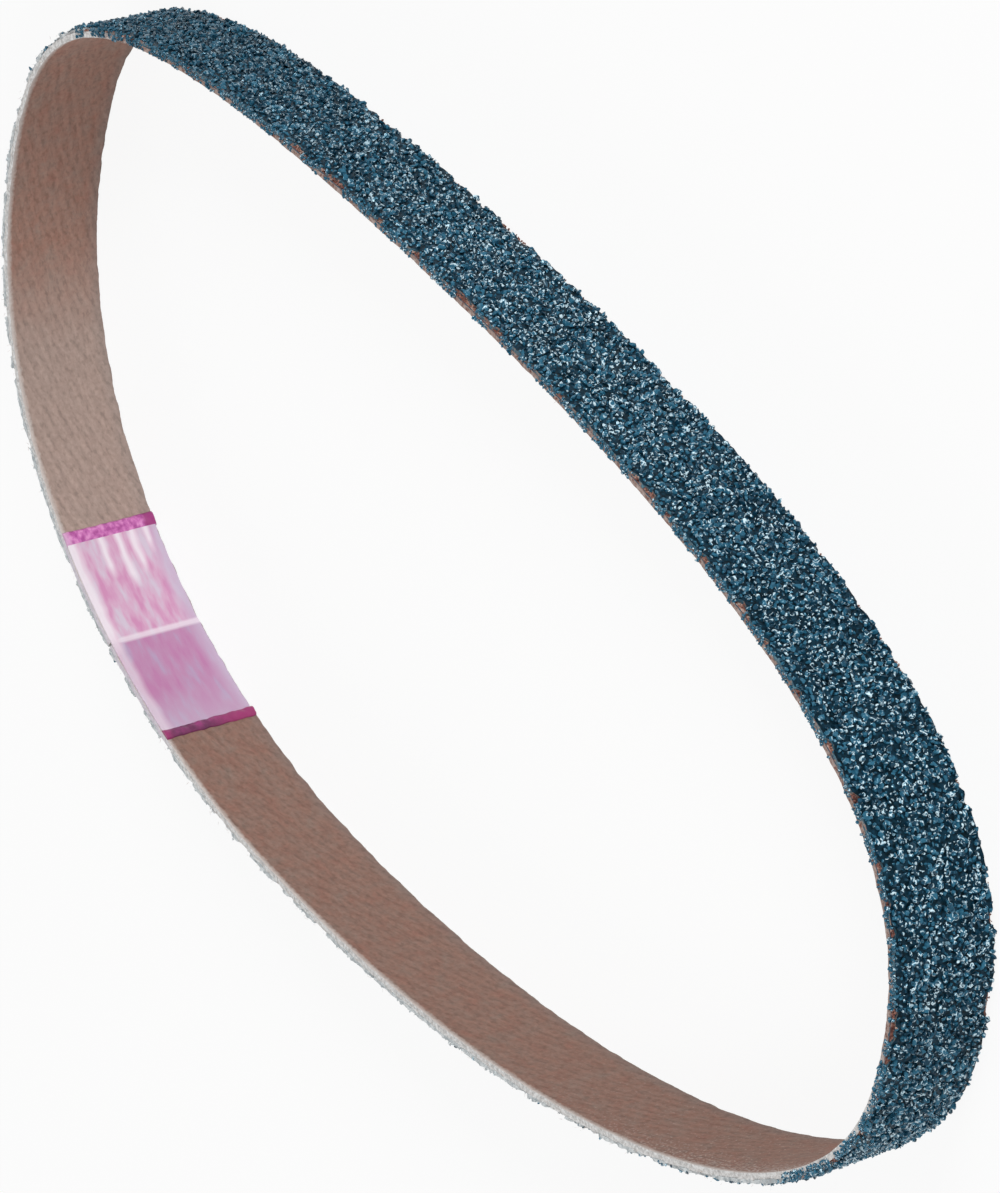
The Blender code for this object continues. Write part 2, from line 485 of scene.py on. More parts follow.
# %% Helper that gathers copies into one mesh
def turns(count):
    """Random turns, as an array of 3 x 3 matrices."""
    q = dice.normal(size=(count, 4))
    w, x, y, z = (q / np.linalg.norm(q, axis=1, keepdims=True)).T
    rows = (
        (1 - 2 * (y * y + z * z), 2 * (x * y - z * w), 2 * (x * z + y * w)),
        (2 * (x * y + z * w), 1 - 2 * (x * x + z * z), 2 * (y * z - x * w)),
        (2 * (x * z - y * w), 2 * (y * z + x * w), 1 - 2 * (x * x + y * y)),
    )
    return np.array(rows).transpose(2, 0, 1)


def gather(name, shapes, centres, sizes, tones, spins=None):
    """One mesh of many copies, each a shape with a centre, three sizes and a tone."""
    which = dice.integers(0, len(shapes), len(centres))
    spins = turns(len(centres)) if spins is None else spins
    all_points, all_faces, all_tones = [], [], []
    first = 0
    for kind, (corners, triangles) in enumerate(shapes):
        chosen = np.flatnonzero(which == kind)
        copies = corners[None] * sizes[chosen][:, None]
        copies = np.einsum("nij,nkj->nki", spins[chosen], copies) + centres[chosen][:, None]
        shifts = first + len(corners) * np.arange(len(chosen))
        all_points.append(copies.reshape(-1, 3))
        all_faces.append((triangles[None] + shifts[:, None, None]).reshape(-1, 3))
        all_tones.append(np.repeat(tones[chosen], len(corners)))
        first += len(corners) * len(chosen)
    mesh = bpy.data.meshes.new(name)
    mesh.from_pydata(np.concatenate(all_points), [], np.concatenate(all_faces))
    tone = mesh.attributes.new("tone", "FLOAT", "POINT")
    tone.data.foreach_set("value", np.concatenate(all_tones).astype(np.float32))
    piece = bpy.data.objects.new(name, mesh)
    bpy.context.scene.collection.objects.link(piece)
    return piece

# %% Strew the grit
# The grains stand in staggered rows, 0.87 of a pitch apart, and each is then jogged about, so
# that the coat has neither lines nor bare patches. They keep clear of the chips and the joint.
GRAIN_PITCH = 0.44 * MM
ROW_SHARE = 0.87
JOG = 0.4
CLEARANCE = 0.04 * MM
columns = int((LAST - FIRST) / GRAIN_PITCH)
rows = int(BELT_WIDTH / (GRAIN_PITCH * ROW_SHARE))
along, across = np.meshgrid(np.arange(columns) + 0.5, np.arange(rows) + 0.5, indexing="ij")
along = along + 0.5 * (np.arange(rows) % 2)[None]
spot_x = FIRST + (along.ravel() + dice.uniform(-JOG, JOG, along.size)) * GRAIN_PITCH
spot_z = (across.ravel() + dice.uniform(-JOG, JOG, along.size)) * BELT_WIDTH / rows
kept = (spot_z > bite(spot_x, -1) + CLEARANCE) & (spot_z < BELT_WIDTH - bite(spot_x, 1) - CLEARANCE)
kept &= (spot_x > FIRST + CLEARANCE) & (spot_x < LAST - CLEARANCE)
spot_x, spot_z = spot_x[kept], spot_z[kept]
print("grains on the coat:", len(spot_x))

# %% Give each grain a size and a tone
# Grains get smaller towards the upper rim. A tone up to 0.8 is a shade of blue. On the near side
# some grains by the upper rim are marked to get fewer painted glints and a lighter blue. On the far
# side those along the upper rim are crushed to powder: nearly all beside the splice, and few next
# to the near side.
FEWER_GLINTS_TONE = 0.9
CRUSHED = 2
near = on_near_side(spot_x)
to_rim = np.clip((spot_z - 8.8 * MM) / MM, 0, 1)
radius = dice.uniform(0.16, 0.32, len(spot_x)) * MM * (1 - 0.25 * to_rim)
sunk = dice.uniform(-0.12, 0.14, len(spot_x)) * MM
centres = np.stack([spot_x, -CLOTH - RESIN - sunk, spot_z], 1)
sizes = radius[:, None] * dice.uniform((0.7, 0.7, 0.9), (1.2, 1.2, 1.7), (len(spot_x), 3))
tones = dice.uniform(0, 0.8, len(spot_x))
tones = np.where(near & (dice.uniform(0, 1.2, len(spot_x)) < to_rim), FEWER_GLINTS_TONE, tones)
crushed = ~near & (spot_z > 8.9 * MM + 0.3 * MM * dice.uniform(-1, 1, len(spot_x)))
crushed_share = np.interp((spot_x - LEAD) / MM, (55, 100, 262, 275), (0.96, 0.1, 0.1, 0.96))
crushed &= dice.uniform(0, 1, len(spot_x)) < crushed_share
tones[crushed] = CRUSHED
print("crushed grains:", int(crushed.sum()))

# %% Strew small grains over the near side's upper edge
# Where the resin ran over, they lie in patches on cloth and coat alike. On the rest of the near
# side they keep off the cloth's innermost 0.16 mm, and nowhere do they fill a chip.
OVER_TRIES = 4600
BARE_CLOTH = 0.16 * MM
CHIPPED = 0.30 * MM
over_x = LEAD + dice.uniform(*NEAR_SIDE, OVER_TRIES) * MM
over_y = -dice.uniform(0.04, 0.90, OVER_TRIES) * MM
over_z = BELT_WIDTH - dice.uniform(-0.01, 0.12, OVER_TRIES) * MM
cover = rough(np.stack([over_x, over_y, 0 * over_x], 1), 1.1 * MM, 21)
run_over = (over_x > LEAD + RUN_OVER[0] * MM) & (over_x < LEAD + RUN_OVER[1] * MM)
kept = (bite(over_x, 1) < CHIPPED) & (cover > np.where(run_over, -0.22, -0.5))
kept &= run_over | (over_y < -BARE_CLOTH)
over = np.stack([over_x, over_y, over_z], 1)[kept]
over_size = dice.uniform(0.08, 0.17, (len(over), 1)) * dice.uniform(0.7, 1.4, (len(over), 3)) * MM
centres = np.concatenate([centres, over])
sizes = np.concatenate([sizes, over_size])
tones = np.concatenate([tones, dice.uniform(0.3, 1.0, len(over))])
print("grains on the edge:", len(over))

# %% Gather the grains
# One mesh of them all would be too heavy, so each fifth of the belt is a piece. No grain may
# reach below the lower rim, and on the far side the knife cut them nearly flush with the upper.
STRETCHES = 5
FLUSH = 0.02 * MM
grain_x = centres[:, 0]
bounds = np.linspace(FIRST, LAST, STRETCHES + 1)
grit = []
for stretch in range(STRETCHES):
    here = (grain_x >= bounds[stretch]) & (grain_x < bounds[stretch + 1])
    piece = gather(f"grit_{stretch + 1}", splinters, centres[here], sizes[here], tones[here])
    points = places(piece.data)
    points[:, 2] = np.maximum(points[:, 2], 0)
    proud = ~on_near_side(points[:, 0]) & (points[:, 2] > BELT_WIDTH - 0.1 * MM)
    cut = BELT_WIDTH - FLUSH + 0.09 * MM * rough(points[proud] * (1, 0, 0), 0.9 * MM, 8)
    points[proud, 2] = np.minimum(points[proud, 2], cut)
    put(piece.data, points)
    grit.append(piece)
print("grains:", len(grain_x), "triangles:", sum(len(piece.data.polygons) for piece in grit))

# %% [markdown]
# ## Crumbs and loose fibres
#
# In the deeper bites the brown make coat shows, broken into crumbs. They lie along the lower rim
# and in the near side's upper rim, because on the far side the upper rim is all powder. From the
# cut cotton a few loose fibres stand out, each a fraction of a millimetre long. Crumbs and
# fibres are modelled once and copied, in the way the grains are.

# %% Brown crumbs in the chips
CRUMB_TRIES = 5000
DEEP_CHIP = 0.26 * MM
crumb_x = dice.uniform(FIRST + MM, LAST - MM, CRUMB_TRIES)
crumb_side = dice.choice((-1, 1), CRUMB_TRIES)
depth = np.where(crumb_side > 0, bite(crumb_x, 1), bite(crumb_x, -1))
deep = (depth > DEEP_CHIP) & (on_near_side(crumb_x) | (crumb_side < 0))
crumb_x, crumb_side, depth = crumb_x[deep], crumb_side[deep], depth[deep]
inset = dice.uniform(0.05 * MM, depth)
crumb_z = np.where(crumb_side > 0, BELT_WIDTH - inset, inset)
crumb_y = -CLOTH - dice.uniform(0.0, 0.22, len(crumb_x)) * MM
crumb_size = dice.uniform(0.06, 0.14, len(crumb_x))[:, None] * MM
crumb_size = crumb_size * dice.uniform(0.7, 1.3, (len(crumb_x), 3))
crumb_places = np.stack([crumb_x, crumb_y, crumb_z], 1)
crumb_tones = dice.uniform(0, 1, len(crumb_x))
crumbs = gather("brown_crumbs", splinters, crumb_places, crumb_size, crumb_tones)
points = places(crumbs.data)
points[:, 2] = np.maximum(points[:, 2], 0)
put(crumbs.data, points)
print("crumbs:", len(crumb_x))

# %% Model one fibre
bpy.ops.object.select_all(action="DESELECT")
bpy.ops.mesh.primitive_cone_add(vertices=4, radius1=1, radius2=0.4, depth=1, location=(0, 0, 0.5))
fibre = bpy.context.object
bpy.ops.object.transform_apply(location=True, rotation=True, scale=True)
cut_edges(fibre, lambda a, b: abs(a[:, 2] - b[:, 2]) > 0.5, 4)
only(fibre)
bpy.ops.object.mode_set(mode="EDIT")
bpy.ops.mesh.select_all(action="SELECT")
bpy.ops.mesh.quads_convert_to_tris()
bpy.ops.object.mode_set(mode="OBJECT")
fibre_points = places(fibre.data)
fibre_faces = np.array([face.vertices[:] for face in fibre.data.polygons])
bpy.data.objects.remove(fibre, do_unlink=True)
# Each kind of fibre is bowed sideways by so many times its own thickness
fibres = []
for curl in (6, 12, -9, 4):
    curled = fibre_points.copy()
    curled[:, 0] += curl * curled[:, 2] ** 2
    fibres.append((curled, fibre_faces))
print("triangles in a fibre:", len(fibre_faces))

# %% Plant the fibres along the cut edges
# On the near side they stand on the cloth's edge, and on the far side on the coat's edge too
FIBRE_TRIES = 2600
fibre_x = dice.uniform(FIRST, LAST, FIBRE_TRIES)
near = on_near_side(fibre_x)
upper_rim = dice.uniform(0, 1, FIBRE_TRIES) < np.where(near, 0.5, 0.8)
kept = dice.uniform(0, 1, FIBRE_TRIES) < np.where(near | ~upper_rim, 0.25, 0.4)
fibre_x, near, upper_rim = fibre_x[kept], near[kept], upper_rim[kept]
count = len(fibre_x)
reach = np.where(near, CLOTH + 0.1 * MM, THICKNESS - 0.1 * MM)
fibre_y = -dice.uniform(0, 1, count) * reach
fibre_z = np.where(upper_rim, BELT_WIDTH - 0.12 * MM, 0.15 * MM)
lift = np.where(upper_rim, 0.45, 0.05)
heading = np.stack([dice.normal(0, 1, count), dice.normal(0, 0.5, count), lift], 1)
heading /= np.linalg.norm(heading, axis=1, keepdims=True)
sideways = np.cross(heading, dice.normal(size=(count, 3)))
sideways /= np.linalg.norm(sideways, axis=1, keepdims=True)
spins = np.stack([sideways, np.cross(heading, sideways), heading], 2)
thick = dice.uniform(0.010, 0.018, count) * MM
long = dice.uniform(0.12, 0.42, count) * MM
roots = np.stack([fibre_x, fibre_y, fibre_z], 1)
fibre_tones = dice.uniform(0, 0.6, count) + np.where(near, 0, 0.4)
loose = gather("loose_fibres", fibres, roots, np.stack([thick, thick, long], 1), fibre_tones, spins)
points = places(loose.data)
points[:, 2] = np.maximum(points[:, 2], 0)
put(loose.data, points)
print("fibres:", count)

# %% [markdown]
# ## The splice
#
# A pink see-through film bridges the butt joint on the inside. Under it the adhesive has
# wetted the cloth in some places and not in others, which shows as pale streaks along the
# belt. Over the joint the film is strained into a low pale ridge, and
# at each end of the film a bead of darker adhesive has been pressed out.

# %% Shape the film
# The photograph shows the film a little shorter than the CAD tape, so it is drawn as shown
TAPE_HALF = 10.4 * MM
FILM_FACES = (0.02 * MM, 0.16 * MM)
FILM_MARGIN = 0.12 * MM
OUTER = 0.1 * MM
film_x = (LEAD - TAPE_HALF, LEAD + TAPE_HALF)
film = flat_box("splice_film", film_x, FILM_FACES, (FILM_MARGIN, BELT_WIDTH - FILM_MARGIN), (8, 11))
cut_across(film, lambda y: y > OUTER)
keep_flat_places(film)
points = places(film.data)
face = points[:, 1] > OUTER
joint = np.exp(-(((points[face, 0] - LEAD) / (0.30 * MM)) ** 2))
stretched = points[face] * (0.25, 1, 1)
points[face, 1] += 0.035 * MM * joint + 0.02 * MM * rough(stretched, 0.9 * MM, 7)
rim = points[:, 2] < 0.2 * MM
points[rim, 2] += 0.13 * MM * (1 + rough(points[rim] * (1, 0, 0), 1.4 * MM, 1))
put(film.data, points)
print("film faces:", len(film.data.polygons))

# %% Shape the two beads of adhesive
def bead(name, start, end, height, seed):
    """A low lumpy bead across the belt, from a box that is rounded and roughened."""
    piece = flat_box(name, (start, end), (0, height), (0.1 * MM, BELT_WIDTH - 0.1 * MM), (8,))
    cut_edges(piece, lambda a, b: abs(a[:, 2] - b[:, 2]) > MM, 59)
    keep_flat_places(piece)
    points = places(piece.data)
    middle, half = (start + end) / 2, (end - start) / 2
    share = (points[:, 0] - middle) / half
    crown = points[:, 1] > height / 2
    lumps = rough(points[crown], 0.45 * MM, seed)
    dome = 0.25 + 0.75 * np.sqrt(np.clip(1 - share[crown] ** 2, 0, 1))
    points[crown, 1] = height * dome * (1 + 0.35 * lumps)
    sway = rough(points * (0, 0, 1), 0.8 * MM, seed + 1)
    points[:, 0] += 0.10 * MM * sway * share
    put(piece.data, points)
    return piece


# Each bead reaches a tenth of a millimetre over its end of the film
start, end = film_x
pale_bead = bead("pale_adhesive_bead", start - 1.25 * MM, start + 0.1 * MM, 0.26 * MM, 11)
dark_bead = bead("dark_adhesive_bead", end - 0.1 * MM, end + 0.95 * MM, 0.30 * MM, 13)
print("bead faces:", len(pale_bead.data.polygons), len(dark_bead.data.polygons))

# %% [markdown]
# ## Finishes: the twill
#
# The inside shows the backing as it left the resin bath. Ribs a millimetre apart run steeply
# along it, but the resin fills the weave, so they show as short soft dashes and not as cords.
# The resin took unevenly, in faint patches from grey-brown to red-brown, and there is a paler
# stretch beside the splice. In each pattern u is the distance from the joint along the belt and v
# the height on the cloth, both in mm.

# %% Resin-soaked twill
# Dull brown and mottled, with hardly any shine, so that the weave shows as tone more than relief.
twill, shader = blank("resin-soaked cotton twill")
flat = node(twill, "ShaderNodeUVMap", uv_map="flat_mm")
u = node(twill, "ShaderNodeSeparateXYZ", {0: flat})
v = u.node.outputs[1]
leant = node(twill, "ShaderNodeMapping", {"Vector": flat}, {"Rotation": (0, 0, RIB_LEAN)})
# The bands of a Wave texture are 2 pi / 20 of a unit apart at a Scale of 1
WAVE = 0.314
rib = node(
    twill,
    "ShaderNodeTexWave",
    {"Vector": leant},
    {"Scale": WAVE / (RIB_PITCH / MM), "Distortion": 2.2, "Detail": 2, "Detail Scale": 1.2},
    give=1,
    bands_direction="Y",
)
drawn = node(twill, "ShaderNodeMapping", {"Vector": leant}, {"Scale": (0.45, 1.4, 1)})
dash = node(twill, "ShaderNodeTexNoise", {"Vector": drawn}, {"Scale": 1.1, "Detail": 2})
weave = node(twill, "ShaderNodeMath", {0: rib, 2: dash}, {1: 0.25}, operation="MULTIPLY_ADD")
# Stains of two millimetres, and specks of 0.4 mm in them
patch = node(twill, "ShaderNodeTexNoise", {"Vector": flat}, {"Scale": 0.5, "Detail": 6, "Roughness": 0.72})
speck = node(twill, "ShaderNodeTexNoise", {"Vector": flat}, {"Scale": 2.6, "Detail": 3, "Roughness": 0.6})
soaked = node(
    twill,
    "ShaderNodeValToRGB",
    {0: patch},
    stops=[(0.34, "#997265"), (0.46, "#98776a"), (0.56, "#977a6e"), (0.68, "#947e73")],
)
# Paler in a stretch beside the splice, and greyer along the lower rim
paler_stretch = node(twill, "ShaderNodeMapRange", {0: u}, {1: 291, 2: 301, 4: 0.85})
soaked = node(twill, "ShaderNodeMix", {0: paler_stretch, 6: soaked}, {7: linear("#a39188")}, **COLOURS)
brim = node(twill, "ShaderNodeMapRange", {0: v}, {1: 0.2, 2: 1.6, 3: 0.5, 4: 0})
soaked = node(twill, "ShaderNodeMix", {0: brim, 6: soaked}, {7: linear("#8c827d")}, **COLOURS)

# %% Threads of the twill
# The threads are only some two pixels wide in the render, so they are drawn about twice as
# coarse, as dark nicks of 0.8 by 0.4 mm between the dashes of the ribs.
tint = node(twill, "ShaderNodeMapRange", {0: weave}, {1: 0.4, 2: 0.85, 3: 0.92, 4: 1.09})
dots = node(twill, "ShaderNodeMapRange", {0: speck}, {1: 0.3, 2: 0.7, 3: 0.90, 4: 1.12})
shade = node(twill, "ShaderNodeMath", {0: tint, 1: dots}, operation="MULTIPLY")
short = node(twill, "ShaderNodeMapping", {"Vector": leant}, {"Scale": (1.3, 2.6, 1)})
nick = node(twill, "ShaderNodeTexNoise", {"Vector": short}, {"Scale": 1, "Detail": 2})
nick = node(twill, "ShaderNodeMapRange", {0: nick}, {1: 0.34, 2: 0.5, 3: 0.83, 4: 1.02})
shade = node(twill, "ShaderNodeMath", {0: shade, 1: nick}, operation="MULTIPLY")
# From the splice to where the near side begins the twill is a shade darker
thick = node(twill, "ShaderNodeMapRange", {0: u}, {1: 125, 2: 105, 3: 1, 4: 0.78})
shade = node(twill, "ShaderNodeMath", {0: shade, 1: thick}, operation="MULTIPLY")
woven = node(twill, "ShaderNodeVectorMath", {0: soaked, "Scale": shade}, operation="SCALE")
print("nodes for ribs, stains and threads:", len(twill.node_tree.nodes))

# %% Worn and furred upper rim of the twill
# Round the loop's left-hand tip the upper part of the face is worn into pale flecks of 0.3 mm
fray = node(twill, "ShaderNodeMapRange", {0: v}, {1: 6.0, 2: 10.0})
reach = node(twill, "ShaderNodeMapRange", {0: u}, {1: 60, 2: 112})
ends = node(twill, "ShaderNodeMapRange", {0: u}, {1: 118, 2: 130, 3: 1, 4: 0})
reach = node(twill, "ShaderNodeMath", {0: reach, 1: ends}, operation="MULTIPLY")
fray = node(twill, "ShaderNodeMath", {0: fray, 1: reach}, operation="MULTIPLY")
fine = node(twill, "ShaderNodeTexNoise", {"Vector": flat}, {"Scale": 3.6, "Detail": 1})
fray = node(twill, "ShaderNodeMath", {0: fray, 2: fine}, {1: 0.3}, operation="MULTIPLY_ADD")
fray = node(twill, "ShaderNodeMapRange", {0: fray}, {1: 0.62, 2: 0.86, 4: 0.75})
fray = node(twill, "ShaderNodeMath", {0: fray, 1: reach}, operation="MULTIPLY")
# On the far side the cut fur of the edge shows over the rim as a thin pale line
wobble = node(twill, "ShaderNodeMath", {0: speck, 2: v}, {1: 0.5}, operation="MULTIPLY_ADD")
furry = node(twill, "ShaderNodeMapRange", {0: wobble}, {1: 9.65, 2: 10.1, 4: 0.9})
at_tape = node(twill, "ShaderNodeMapRange", {0: u}, {1: 104, 2: 118, 3: 1, 4: 0})
beyond = node(twill, "ShaderNodeMapRange", {0: u}, {1: 258, 2: 264})
far = node(twill, "ShaderNodeMath", {0: at_tape, 1: beyond}, operation="MAXIMUM")
furry = node(twill, "ShaderNodeMath", {0: furry, 1: far}, operation="MULTIPLY")
fray = node(twill, "ShaderNodeMath", {0: fray, 1: furry}, operation="MAXIMUM")
colour = node(twill, "ShaderNodeMix", {0: fray, 6: woven}, {7: linear("#cbc3be")}, **COLOURS)
bump = node(twill, "ShaderNodeBump", {"Height": weave}, {"Strength": 0.4, "Distance": 0.03 * MM})
node(twill, shader, {"Base Color": colour, "Normal": bump}, {"Roughness": 0.85, "Specular IOR Level": 0.25})
print("nodes in all:", len(twill.node_tree.nodes))

# %% [markdown]
# ## Finishes: the slit edges
#
# Slitting leaves two kinds of edge. On the far side the knife has furred the cotton and crushed
# the grit to a pale grey powder. On the near side the resin has run over the edge, so that only
# a thin tan line of cloth is left. The flat place along the belt says which is which.

# %% Bare cut cotton
# Undyed yarn is pale, soft and quite matt, with a little of the tape's lilac beside the splice.
# On a cut edge v runs on from the rim's height by the depth below the cloth's inner face, so
# that v modulo the belt's width is that depth. On the near side blue resin is smeared over the
# tan yarn from about 0.45 mm down.
cotton, shader = blank("slit cotton edge")
flat = node(cotton, "ShaderNodeUVMap", uv_map="flat_mm")
u = node(cotton, "ShaderNodeSeparateXYZ", {0: flat})
v = u.node.outputs[1]
yarn = node(cotton, "ShaderNodeTexNoise", {"Vector": flat}, {"Scale": 2.8, "Detail": 4, "Roughness": 0.65})
stops = [(0.3, "#b4b1af"), (0.46, "#d2d0ce"), (0.6, "#eeedec")]
furred = node(cotton, "ShaderNodeValToRGB", {0: yarn}, stops=stops)
stops = [(0.36, "#764b42"), (0.46, "#9c847b"), (0.62, "#bcaba5")]
tan = node(cotton, "ShaderNodeValToRGB", {0: yarn}, stops=stops)
depth = node(cotton, "ShaderNodeMath", {0: v}, {1: BELT_WIDTH / MM}, operation="MODULO")
ragged = node(cotton, "ShaderNodeMath", {0: yarn, 2: depth}, {1: 0.5}, operation="MULTIPLY_ADD")
smear = node(cotton, "ShaderNodeMapRange", {0: ragged}, {1: 0.66, 2: 0.74})
tan = node(cotton, "ShaderNodeMix", {0: smear, 6: tan}, {7: linear("#2c5264")}, **COLOURS)
entry = node(cotton, "ShaderNodeMapRange", {0: u}, {1: SOAKED_EDGE[0] - 4, 2: SOAKED_EDGE[0] + 4})
leave = node(cotton, "ShaderNodeMapRange", {0: u}, {1: SOAKED_EDGE[1] - 4, 2: SOAKED_EDGE[1], 3: 1, 4: 0})
near = node(cotton, "ShaderNodeMath", {0: entry, 1: leave}, operation="MULTIPLY")
to_joint = node(cotton, "ShaderNodeMath", {0: u}, {1: BELT_LENGTH / MM / 2}, operation="PINGPONG")
lilac = node(cotton, "ShaderNodeMapRange", {0: to_joint}, {1: 10.4, 2: 12.4, 3: 0.6, 4: 0})
furred = node(cotton, "ShaderNodeMix", {0: lilac, 6: furred}, {7: linear("#ded3e2")}, **COLOURS)
colour = node(cotton, "ShaderNodeMix", {0: near, 6: furred, 7: tan}, **COLOURS)
bump = node(cotton, "ShaderNodeBump", {"Height": yarn}, {"Strength": 0.6, "Distance": 0.08 * MM})
node(cotton, shader, {"Base Color": colour, "Normal": bump}, {"Roughness": 0.95, "Specular IOR Level": 0.2})
print("nodes in the cotton edge:", len(cotton.node_tree.nodes))

# %% Loose lint
# Fibres torn from the yarn: the same cotton, pale on the far side and brown where it is soaked.
lint, shader = blank("loose cotton lint")
tone = node(lint, "ShaderNodeAttribute", give=2, attribute_name="tone")
stops = [(0, "#7c5e50"), (0.45, "#b9a598"), (1, "#f4f2f1")]
colour = node(lint, "ShaderNodeValToRGB", {0: tone}, stops=stops)
node(lint, shader, {"Base Color": colour}, {"Roughness": 0.95, "Specular IOR Level": 0.2})

# %% Brown make coat
# The first resin that went on the cloth, reddish brown and broken where the coat has chipped.
make, shader = blank("brown phenolic make coat")
own = node(make, "ShaderNodeTexCoord", give=3)
mottle = node(make, "ShaderNodeTexNoise", {"Vector": own}, {"Scale": 2.2 / MM, "Detail": 3})
colour = node(
    make,
    "ShaderNodeValToRGB",
    {0: mottle},
    stops=[(0.32, "#44231f"), (0.45, "#744439"), (0.56, "#916759"), (0.66, "#b8a196")],
)
bump = node(make, "ShaderNodeBump", {"Height": mottle}, {"Strength": 0.6, "Distance": 0.08 * MM})
node(make, shader, {"Base Color": colour, "Normal": bump}, {"Roughness": 0.5})

# %% [markdown]
# ## Finishes: the blue coat
#
# The grit is a blue alumina-zirconia under a clear blue size resin. The eye sees three things:
# near-black pits between the grains, deep teal flanks, and a bright glint on every wet edge
# that faces a lamp. So the colour stays dark, the shine stays sharp, and a fine bump breaks
# each facet's shine into the small curved pieces that real resin shows. The finest glints are
# thinner than a pixel, so they are drawn coarser, as short pale strokes in the colour.

# %% Blue resin over the grit
GLOSS = {"Roughness": 0.18, "IOR": 1.42, "Specular Tint": linear("#b4e2f6")}
glaze, shader = blank("glossy blue resin on grit")
tone = node(glaze, "ShaderNodeAttribute", give=2, attribute_name="tone")
own = node(glaze, "ShaderNodeTexCoord", give=3)
place = node(glaze, "ShaderNodeSeparateXYZ", {0: own})
# Each grain takes its pattern from another place, as far away as its tone says
APART = (13 * MM, 29 * MM, 17 * MM)
apart = node(glaze, "ShaderNodeVectorMath", {"Scale": tone}, {0: APART}, operation="SCALE")
own = node(glaze, "ShaderNodeVectorMath", {0: own, 1: apart}, operation="ADD")
mottle = node(glaze, "ShaderNodeTexNoise", {"Vector": own}, {"Scale": 3.8 / MM, "Detail": 2})
blend = node(glaze, "ShaderNodeMath", {0: tone, 1: mottle}, operation="ADD")
stops = [(0.35, "#06202d"), (0.8, "#133c52"), (1, "#2a6079")]
deep = node(glaze, "ShaderNodeValToRGB", {0: blend}, stops=stops)
# Towards the loop's right-hand tip the grit is darker
darker_to_tip = node(glaze, "ShaderNodeMapRange", {0: place}, {1: 5 * MM, 2: 55 * MM, 3: 1, 4: 0.8})
deep = node(glaze, "ShaderNodeVectorMath", {0: deep, "Scale": darker_to_tip}, operation="SCALE")
swirl = node(glaze, "ShaderNodeTexNoise", {"Vector": own}, {"Scale": 1.4 / MM, "Detail": 1})

# %% Glints on the grit
# The glints are painted highlights. A pale stroke follows the places where a noise crosses its
# middle, and another noise breaks it up. Fewer painted glints show towards the loop's right-hand
# tip and on the marked grains by the near side's upper rim, and the crushed grains are pale powder all over.
ridge = node(glaze, "ShaderNodeTexNoise", {"Vector": own}, {"Scale": 2 / MM, "Detail": 1})
line = node(glaze, "ShaderNodeMath", {0: ridge}, {1: 0.5}, operation="SUBTRACT")
line = node(glaze, "ShaderNodeMath", {0: line}, operation="ABSOLUTE")
painted_glint = node(glaze, "ShaderNodeMapRange", {0: line}, {1: 0.02, 2: 0.055, 3: 1, 4: 0})
gaps = node(glaze, "ShaderNodeTexNoise", {"Vector": own}, {"Scale": 1.5 / MM, "Detail": 1})
broken = node(glaze, "ShaderNodeMapRange", {0: gaps}, {1: 0.46, 2: 0.53})
painted_glint = node(glaze, "ShaderNodeMath", {0: painted_glint, 1: broken}, operation="MULTIPLY")
fewer_glints_to_tip = node(glaze, "ShaderNodeMapRange", {0: place}, {1: 5 * MM, 2: 55 * MM, 3: 1, 4: 0.15})
painted_glint = node(glaze, "ShaderNodeMath", {0: painted_glint, 1: fewer_glints_to_tip}, operation="MULTIPLY")
fewer_glints_by_rim = node(glaze, "ShaderNodeMapRange", {0: tone}, {1: 0.8, 2: 0.9, 3: 1, 4: 0.25})
painted_glint = node(glaze, "ShaderNodeMath", {0: painted_glint, 1: fewer_glints_by_rim}, operation="MULTIPLY")
# Painted highlights: the pale glint colour is mixed over the deep blue
deep = node(glaze, "ShaderNodeMix", {0: painted_glint, 6: deep}, {7: linear("#cfe8f2")}, **COLOURS)
powder = node(glaze, "ShaderNodeValToRGB", {0: mottle}, stops=[(0.3, "#a5adb0"), (0.6, "#e0e4e5")])
crushed = node(glaze, "ShaderNodeMapRange", {0: tone}, {1: 1.3, 2: 1.6})
colour = node(glaze, "ShaderNodeMix", {0: crushed, 6: deep, 7: powder}, **COLOURS)
bump = node(glaze, "ShaderNodeBump", {"Height": swirl}, {"Strength": 0.8, "Distance": 0.3 * MM})
node(glaze, shader, {"Base Color": colour, "Normal": bump}, GLOSS)
print("nodes in the grit's glaze:", len(glaze.node_tree.nodes))

# %% Blue resin between the grains
# The same resin in deep pools between the grains. Its near-black colour is partly the dark
# resin and partly painted shade, as hardly any light comes back from there, and it has a weaker
# shine. Along the far side's upper rim it is dusted with the powder of crushed grains.
pool, shader = blank("pooled blue resin")
own = node(pool, "ShaderNodeTexCoord", give=3)
mottle = node(pool, "ShaderNodeTexNoise", {"Vector": own}, {"Scale": 2.6 / MM, "Detail": 2})
colour = node(pool, "ShaderNodeValToRGB", {0: mottle}, stops=[(0.35, "#06151c"), (0.65, "#123243")])
flat = node(pool, "ShaderNodeUVMap", uv_map="flat_mm")
u = node(pool, "ShaderNodeSeparateXYZ", {0: flat})
dusty = node(pool, "ShaderNodeMapRange", {0: u.node.outputs[1]}, {1: 9.6, 2: 9.9})
before = node(pool, "ShaderNodeMapRange", {0: u}, {1: 90, 2: 104, 3: 1, 4: 0})
after = node(pool, "ShaderNodeMapRange", {0: u}, {1: 262, 2: 270})
far = node(pool, "ShaderNodeMath", {0: before, 1: after}, operation="MAXIMUM")
dusty = node(pool, "ShaderNodeMath", {0: dusty, 1: far}, operation="MULTIPLY")
colour = node(pool, "ShaderNodeMix", {0: dusty, 6: colour}, {7: linear("#a9b1b4")}, **COLOURS)
bump = node(pool, "ShaderNodeBump", {"Height": mottle}, {"Strength": 0.8, "Distance": 0.1 * MM})
duller = GLOSS | {"Roughness": 0.3, "Specular IOR Level": 0.12}
node(pool, shader, {"Base Color": colour, "Normal": bump}, duller)

